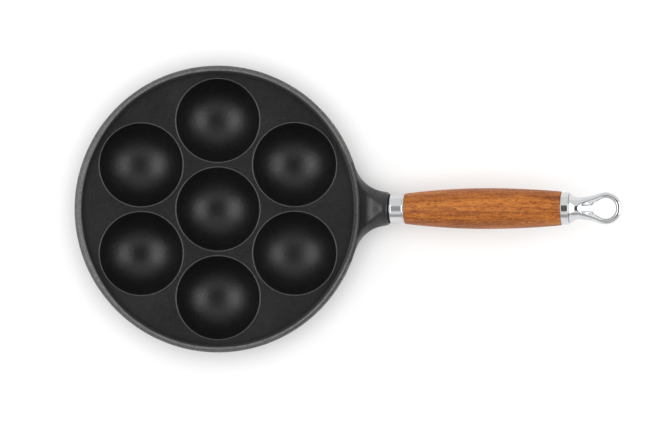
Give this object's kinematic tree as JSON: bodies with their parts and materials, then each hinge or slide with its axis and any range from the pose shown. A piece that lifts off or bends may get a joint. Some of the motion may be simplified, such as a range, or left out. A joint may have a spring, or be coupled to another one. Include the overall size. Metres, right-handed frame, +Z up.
{
  "type": "aebleskiver pan",
  "caption": "Round iron pan with hemispherical wells for filled pancakes, and a wooden grip clamped by a rod with a hanging loop.",
  "frame": {"origin": "centre of the flat base, on the surface that the pan stands on", "axes": "+Z up; +X towards the handle, which rises by 10 degrees along it"},
  "size_m": [0.3801, 0.2, 0.0609],
  "materials": {
    "iron": "seasoned, satin",
    "fibre": "matt black",
    "chrome": "polished",
    "wood": "oiled, satin",
    "steel": "turned"
  },
  "bodies": {
    "pan": {"pan_casting": "iron"},
    "handle": {"neck_spacer": "fibre", "front_ferrule": "chrome", "wood_grip": "wood", "rear_collar": "chrome"},
    "loop": {"lock_washer": "steel", "hanging_loop": "chrome", "tie_rod": "steel"}
  },
  "joints": [
    {"name": "handle_draw", "type": "slide", "parent": "pan", "child": "handle", "axis": [0.9848, 0, 0.1736], "range_m": [0, 0.01375]},
    {"name": "loop_turn", "type": "hinge", "parent": "handle", "child": "loop", "pos_m": [0.1198, 0, 0.028], "axis": [0.9848, 0, 0.1736], "range_deg": [0, 3960]}
  ],
  "couplings": [
    {"joint": "loop_turn", "follows": "handle_draw", "rad_per_m": 5026.5}
  ]
}
